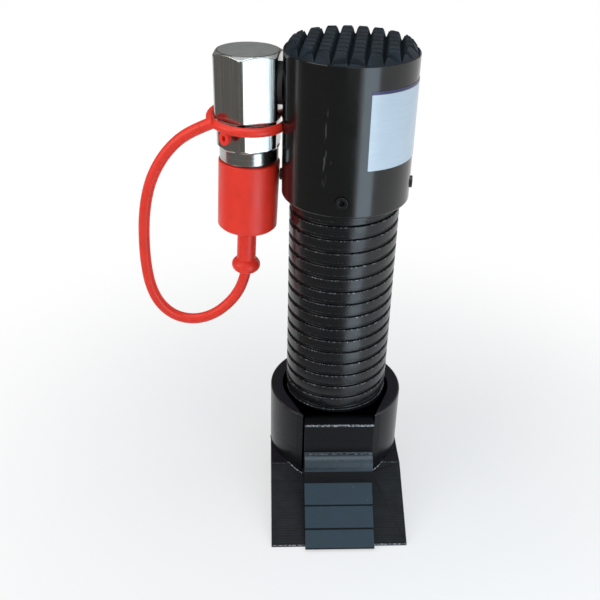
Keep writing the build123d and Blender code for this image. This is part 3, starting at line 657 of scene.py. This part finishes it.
class OPENER_OT_finishes(Operator):
    """Build the finishes and give each piece that stays as it is its own"""

    bl_idname = "opener.finishes"
    bl_label = "Finishes"

    def execute(self, context):
        finish = context.scene.opener_finish
        for build in (tool_lines_group, handling_group, band_group, rows_group, coil_group):
            build()
        black = finish.black_steel
        barrel_material(black, finish.wear_and_glint_steel)
        black_steel_material("base_steel", black, 0.20, 0.30, 0.15, 900.0, 10.0)
        black_steel_material("collar_top_steel", (0.009, 0.0085, 0.0125), 0.42, 0.55, 0.16, 300.0, 300.0)
        black_steel_material("toe_black_steel", black, 0.26, 0.40, 0.11, 2600.0, 6.0)
        black_steel_material("screw_steel", black, 0.18, 0.3, 0.45, 600.0, 60.0)
        wide_toe_material(black, finish.wear_and_glint_steel)
        # Bright edge steels: partly wear, partly a painted glint on rounded edges.
        edge_material("rubbed_glint_edge", black, finish.wear_and_glint_steel, 0.44, 0.60)
        edge_material("chipped_glint_edge", black, finish.wear_and_glint_steel, 0.62, 0.70)
        slate_material("toe_slate_steel", finish.toe_slate, 0.50, 0.66, 0.28)
        slate_material("toe_shoulder_steel", tuple(c * 0.8 for c in finish.toe_slate), 0.26, 0.36, 0.45)
        head_material(finish.head_paint)
        stud_material(finish.stud_steel)
        plated_material("plated_steel", finish.plating, 1500.0, 22.0, 0.15, 0.24)
        plated_material("turned_steel", finish.plating, 18.0, 1700.0, 0.16, 0.26)
        plated_material("ground_chrome", (0.66, 0.67, 0.68), 25.0, 1800.0, 0.08, 0.16)
        plated_material("spring_steel", (0.25, 0.25, 0.27), 40.0, 40.0, 0.3, 0.45)
        faced_material("faced_steel", finish.plating)
        vinyl_material(finish.red_vinyl)
        label_material(finish.label, finish.label_border, context.scene.opener_sizes.label_top)
        rubber_material()
        dress("end_gland", "base_steel")
        dress("plunger_lock_screw", "screw_steel")
        for node in ("coupler_poppet", "port_nipple"):
            dress(node, "turned_steel")
        dress("plunger", "ground_chrome")
        for node in ("piston_seals", "gland_wiper", "port_seal"):
            dress(node, "seal_rubber")
        return {"FINISHED"}


class OPENER_OT_base(Operator):
    """Round the edges of the base block, and finish its collar, ledge and sloping toe"""

    bl_idname = "opener.base"
    bl_label = "Base"

    def execute(self, context):
        def close_slot(shell):
            slope = max((f for f in shell.faces if f.normal.z > 0.8 and f.normal.y < -0.3), key=lambda f: f.calc_area())
            normal, on_slope = slope.normal.copy(), slope.verts[0].co.copy()
            for vertex in shell.verts:
                x, y, z = vertex.co
                side = abs(x)
                radius = math.hypot(x, y)
                if y > -0.015 or z < 0.0124 or not 0.0205 < side < 0.0231 or not 0.0300 < radius < 0.0390:
                    continue
                side = 0.0198 + (side - 0.0206) * 0.2
                if y + 0.02701 > 0 or z > LEDGE_HEIGHT + 0.0001:
                    if abs(y - LEDGE_FRONT) > 0.00002:
                        y = -math.sqrt(radius * radius - side * side)
                else:
                    y = -math.sqrt(radius * radius - side * side)
                    z = on_slope.z - normal.y * (y - on_slope.y) / normal.z
                vertex.co = (math.copysign(side, x), y, z)

        def pick(centre, normal, edge):
            # Painted glint and wear: sparse bright chips on the collar's upper outer edge.
            if edge and centre.z > 0.0628 and math.hypot(centre.x, centre.y) > 0.0365:
                return 4
            if normal.z > 0.8 and normal.y < -0.3 and centre.y < LEDGE_FRONT + 0.001:
                return 1
            # Painted glint and wear: bright bare steel on the edges of the ledge and the sloping toe.
            if edge and (centre.z < LEDGE_HEIGHT + 0.0008) and centre.y < LEDGE_FRONT + 0.002 and normal.z > 0.1:
                return 3
            if normal.z > 0.9 and centre.z > LEDGE_HEIGHT - 0.001:
                return 2
            return 0

        eased_piece(
            "base_block", "base",
            ("base_steel", "wide_toe_steel", "collar_top_steel", "rubbed_glint_edge", "chipped_glint_edge"), 0.00035, pick,
            reshape=close_slot, flat=1.2,
        )
        return {"FINISHED"}


class OPENER_OT_toe(Operator):
    """Round the edges of the moving toe, and finish its steps, shoulder and edges"""

    bl_idname = "opener.toe"
    bl_label = "Moving Toe"

    def execute(self, context):
        low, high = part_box("upper_toe")

        def pick(centre, normal, edge):
            if centre.y > -0.0372:
                return 0
            # Painted glint and wear: bright bare steel on the top front chamfer.
            if centre.z > high.z - 0.0011 and normal.z > 0.2:
                return 3
            # Painted highlight: the upward-facing strip at the top of the shoulder gets the bright edge steel.
            if 0.0416 < centre.z < 0.0424 and normal.z > 0.97:
                return 3
            if 0.0335 < centre.z < 0.0424 and normal.z > 0.02:
                return 2
            if centre.z < 0.0270 and normal.z > 0.3:
                return 1
            return 0

        eased_piece(
            "upper_toe", "barrel",
            ("toe_black_steel", "toe_slate_steel", "toe_shoulder_steel", "rubbed_glint_edge"), 0.00025, pick,
        )
        return {"FINISHED"}


class OPENER_OT_barrel(Operator):
    """Round the ridges of the barrel"""

    bl_idname = "opener.barrel"
    bl_label = "Barrel"

    def execute(self, context):
        eased_piece("ribbed_barrel", "barrel", ("barrel_steel",), 0.0003)
        return {"FINISHED"}


class OPENER_OT_head(Operator):
    """Round the head's rim and studs, and its screws"""

    bl_idname = "opener.head"
    bl_label = "Head"

    def execute(self, context):
        eased_piece(
            "head_block", "barrel", ("head_paint", "stud_steel"), 0.0004,
            lambda centre, normal, edge: 1 if centre.z > HEAD_RIM + 0.00005 else 0,
        )
        eased_piece("head_screws", "barrel", ("screw_steel",), 0.00025)
        return {"FINISHED"}


class OPENER_OT_coupler(Operator):
    """Round the edges of the coupler's hexagon, nipple, ring and cap"""

    bl_idname = "opener.coupler"
    bl_label = "Coupler"

    def execute(self, context):
        eased_piece(
            "coupler_body", "barrel", ("plated_steel", "faced_steel"), 0.0005,
            lambda centre, normal, edge: 1 if normal.z > 0.6 and not edge else 0,
        )
        flats_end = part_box("coupler_body")[0].z - 0.0137
        eased_piece(
            "coupler_nipple", "barrel", ("plated_steel", "turned_steel"), 0.0003,
            lambda centre, normal, edge: 1 if centre.z < flats_end + 0.0012 else 0,
        )
        eased_piece("tether_ring", "barrel", ("red_vinyl",), 0.0003, angle=35.0)
        eased_piece("dust_cap", "dust_cap", ("red_vinyl",), 0.0003, angle=30.0)
        return {"FINISHED"}


class OPENER_OT_springs(Operator):
    """Copy the two coil springs from the frame as pieces of spring steel"""

    bl_idname = "opener.springs"
    bl_label = "Springs"

    def execute(self, context):
        for node, moving, fixed in (
            ("return_spring", "barrel", "base"),
            ("poppet_spring", "check_valve", "barrel"),
        ):
            name = node + "_coil"
            coil = new_piece(name, as_mesh(merged_shell(node), name), None, "spring_steel")
            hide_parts(node)
            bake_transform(coil)
        return {"FINISHED"}


class OPENER_OT_label(Operator):
    """Stick the bare foil label on the head"""

    bl_idname = "opener.label"
    bl_label = "Label"

    def execute(self, context):
        sizes = context.scene.opener_sizes
        radius = HEAD_RADIUS + 0.00002
        foil = bmesh.new()
        start = Matrix.Rotation(sizes.label_left, 4, "Z") @ Vector((radius, 0, 0))
        low = foil.verts.new((start.x, start.y, sizes.label_bottom))
        high = foil.verts.new((start.x, start.y, sizes.label_top))
        edge = foil.edges.new((low, high))
        bmesh.ops.spin(
            foil, geom=[edge, low, high], cent=(0, 0, 0), axis=(0, 0, 1), dvec=(0, 0, 0),
            angle=sizes.label_sweep, steps=48, use_duplicate=False,
        )
        bmesh.ops.recalc_face_normals(foil, faces=foil.faces)
        outward = foil.faces[0].calc_center_median()
        if foil.faces[0].normal.dot(Vector((outward.x, outward.y, 0))) < 0:
            bmesh.ops.reverse_faces(foil, faces=foil.faces)
        corners = [v for v in foil.verts if len(v.link_edges) == 2]
        bmesh.ops.bevel(foil, geom=corners, offset=sizes.label_corner, segments=3, profile=0.5, affect="VERTICES",
                        material=-1)
        bmesh.ops.solidify(foil, geom=foil.faces[:], thickness=-sizes.label_thickness)
        mesh = bpy.data.meshes.new("label_plate")
        foil.to_mesh(mesh)
        foil.free()
        new_piece("label_plate", mesh, "barrel", "label_foil")
        return {"FINISHED"}


class OPENER_OT_tether(Operator):
    """Lay the moulded tether from the knob up to the ring"""

    bl_idname = "opener.tether"
    bl_label = "Tether"

    def execute(self, context):
        diameter = context.scene.opener_sizes.tether_diameter
        line = bpy.data.curves.new("tether_line", "CURVE")
        line.dimensions = "3D"
        line.resolution_u = 8
        spline = line.splines.new("NURBS")
        spline.points.add(len(TETHER_ROUTE) - 1)
        for point, place_of in zip(spline.points, TETHER_ROUTE):
            point.co = (*place_of, 1.0)
        spline.order_u = 3
        spline.use_endpoint_u = True
        holder = bpy.data.objects.new("tether_line", line)
        context.scene.collection.objects.link(holder)
        context.view_layer.update()
        path_mesh = bpy.data.meshes.new_from_object(holder)
        path = [vertex.co.copy() for vertex in path_mesh.vertices]
        line.bevel_depth = diameter / 2
        line.bevel_resolution = 6
        line.use_fill_caps = True
        context.view_layer.update()
        tube = bpy.data.meshes.new_from_object(holder.evaluated_get(context.evaluated_depsgraph_get()))
        bpy.data.objects.remove(holder)
        tube.name = "tether"
        tube.shade_smooth()
        length = sum((b - a).length for a, b in zip(path, path[1:]))
        tether = new_piece("tether", tube, None, "red_vinyl")
        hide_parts("cap_tether")
        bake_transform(tether)
        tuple(path[0])
        return {"FINISHED"}


def area_light(name, place_at, aim, width, height, power, colour):
    """Soft rectangular lamp aimed at a point."""
    lamp = bpy.data.lights.new(name, "AREA")
    lamp.shape = "RECTANGLE"
    lamp.size = width
    lamp.size_y = height
    lamp.energy = power
    lamp.color = colour
    holder = bpy.data.objects.new(name, lamp)
    bpy.context.scene.collection.objects.link(holder)
    holder.location = place_at
    holder.rotation_mode = "QUATERNION"
    holder.rotation_quaternion = (Vector(place_at) - Vector(aim)).to_track_quat("Z", "Y")
    holder.visible_camera = False
    return holder


def grey_cards():
    """Grey cards that only reflections see: one on the floor in front and to the left, one standing round the back."""
    card = bmesh.new()
    inner = [card.verts.new((r * math.cos(math.radians(-80)), r * math.sin(math.radians(-80)), 0.001))
             for r in (0.13, 1.2)]
    edge = card.edges.new(inner)
    bmesh.ops.spin(card, geom=[edge, *inner], cent=(0, 0, 0), axis=(0, 0, 1), dvec=(0, 0, 0),
                   angle=math.radians(-110), steps=40, use_duplicate=False)
    start = Matrix.Rotation(math.radians(60), 4, "Z") @ Vector((1.2, 0, 0))
    post = [card.verts.new((start.x, start.y, z)) for z in (0.002, 1.5)]
    stand = card.edges.new(post)
    bmesh.ops.spin(card, geom=[stand, *post], cent=(0, 0, 0), axis=(0, 0, 1), dvec=(0, 0, 0),
                   angle=math.radians(200), steps=40, use_duplicate=False)
    mesh = bpy.data.meshes.new("grey_cards")
    card.to_mesh(mesh)
    card.free()
    made = bpy.data.materials.new("grey_card")
    made.use_nodes = True
    tree = made.node_tree
    tree.nodes.clear()
    glow = place(tree, "ShaderNodeEmission", {"Color": (0.20, 0.19, 0.175, 1.0), "Strength": 1.0})
    output = tree.nodes.new("ShaderNodeOutputMaterial")
    tree.links.new(glow.outputs[0], output.inputs["Surface"])
    mesh.materials.append(made)
    holder = bpy.data.objects.new("grey_cards", mesh)
    bpy.context.scene.collection.objects.link(holder)
    holder.visible_camera = False
    holder.visible_diffuse = False
    holder.visible_shadow = False
    holder.visible_transmission = False


class OPENER_OT_stage(Operator):
    """Set the floor, the lights and the camera"""

    bl_idname = "opener.stage"
    bl_label = "Stage"

    def execute(self, context):
        stage = context.scene.opener_stage
        scene = context.scene
        scene.view_settings.view_transform = "Standard"
        ground = bmesh.new()
        bmesh.ops.create_grid(ground, x_segments=1, y_segments=1, size=3.0)
        mesh = bpy.data.meshes.new("floor")
        ground.to_mesh(mesh)
        ground.free()
        mesh.materials.append(paper_material("floor_paper"))
        floor = bpy.data.objects.new("floor", mesh)
        scene.collection.objects.link(floor)
        world = bpy.data.worlds.new("studio")
        scene.world = world
        world.use_nodes = True
        tree = world.node_tree
        tree.nodes.clear()
        rays = tree.nodes.new("ShaderNodeLightPath")
        white = rays.outputs["Is Camera Ray"]
        for other in ("Is Glossy Ray", "Is Transmission Ray"):
            white = place(tree, "ShaderNodeMath", {0: white, 1: rays.outputs[other]}, operation="MAXIMUM").outputs[0]
        seen = place(tree, "ShaderNodeBackground", {"Color": (1.0, 1.0, 1.0, 1.0), "Strength": 1.0})
        lit = place(tree, "ShaderNodeBackground", {"Color": (0.97, 0.98, 1.0, 1.0), "Strength": stage.world_strength})
        both = place(tree, "ShaderNodeMixShader", {0: white, 1: lit.outputs[0], 2: seen.outputs[0]})
        output = tree.nodes.new("ShaderNodeOutputWorld")
        tree.links.new(both.outputs[0], output.inputs["Surface"])
        aim = Vector(stage.aim)
        turn = math.radians(-63.0)
        out = Vector((math.cos(turn), math.sin(turn), 0.0))
        area_light("window", out * 0.32 + Vector((0, 0, 0.13)), (0, 0, 0.13), 0.15, 0.24, 0.36, (0.66, 0.85, 1.0))
        low_card = area_light("low_window", out * 0.235 + Vector((0, 0, 0.002)), out * 0.235 + Vector((0, 0, 1)),
                              0.11, 0.15, 0.15, (0.68, 0.86, 1.0))
        low_card.rotation_quaternion = Quaternion((0, 0, 1), turn + math.pi / 2) @ Quaternion((1, 0, 0), math.pi)
        area_light("ceiling", (-0.03, -0.10, 0.95), (-0.02, 0.0, 0.1), 0.8, 0.6, 3.8, (0.80, 0.91, 1.0))
        area_light("fill", (-0.70, -0.35, 0.5), aim, 0.5, 0.5, 2.4, (1.0, 0.96, 0.92))
        grey_cards()
        data = bpy.data.cameras.new("camera")
        data.lens = stage.lens
        data.sensor_width = 36.0
        camera = bpy.data.objects.new("camera", data)
        scene.collection.objects.link(camera)
        level = math.cos(stage.elevation)
        back = Vector((math.sin(stage.azimuth) * level, -math.cos(stage.azimuth) * level, math.sin(stage.elevation)))
        right = (-back).cross(Vector((0, 0, 1))).normalized()
        down = (-back).cross(right)
        turned_right = right * math.cos(stage.roll) + down * math.sin(stage.roll)
        turned_up = right * math.sin(stage.roll) - down * math.cos(stage.roll)
        pose = Matrix((turned_right, turned_up, back)).transposed().to_4x4()
        pose.translation = aim + back * stage.distance
        camera.matrix_world = pose
        scene.camera = camera
        return {"FINISHED"}


class OPENER_PT_panel(Panel):
    """List the opener's pieces"""

    bl_idname = "OPENER_PT_panel"
    bl_label = "Door Opener"
    bl_space_type = "VIEW_3D"
    bl_region_type = "UI"
    bl_category = "Opener"

    def draw(self, context):
        layout = self.layout
        for settings in (context.scene.opener_finish, context.scene.opener_sizes, context.scene.opener_stage):
            box = layout.box()
            for name in settings.__annotations__:
                box.prop(settings, name)
        for operator in OPERATORS:
            layout.operator(operator.bl_idname)


OPERATORS = (
    OPENER_OT_finishes, OPENER_OT_base, OPENER_OT_toe, OPENER_OT_barrel, OPENER_OT_head, OPENER_OT_coupler,
    OPENER_OT_springs, OPENER_OT_label, OPENER_OT_tether, OPENER_OT_stage,
)
CLASSES = (OpenerFinish, OpenerSizes, OpenerStage, *OPERATORS, OPENER_PT_panel)


def register():
    for made in CLASSES:
        bpy.utils.register_class(made)
    bpy.types.Scene.opener_finish = PointerProperty(type=OpenerFinish)
    bpy.types.Scene.opener_sizes = PointerProperty(type=OpenerSizes)
    bpy.types.Scene.opener_stage = PointerProperty(type=OpenerStage)


def unregister():
    del bpy.types.Scene.opener_stage
    del bpy.types.Scene.opener_sizes
    del bpy.types.Scene.opener_finish
    for made in reversed(CLASSES):
        bpy.utils.unregister_class(made)


def main():
    register()
    bpy.ops.opener.finishes()
    bpy.ops.opener.base()
    bpy.ops.opener.toe()
    bpy.ops.opener.barrel()
    bpy.ops.opener.head()
    bpy.ops.opener.coupler()
    bpy.ops.opener.springs()
    bpy.ops.opener.label()
    bpy.ops.opener.tether()
    bpy.ops.opener.stage()


if __name__ == "__main__":
    main()
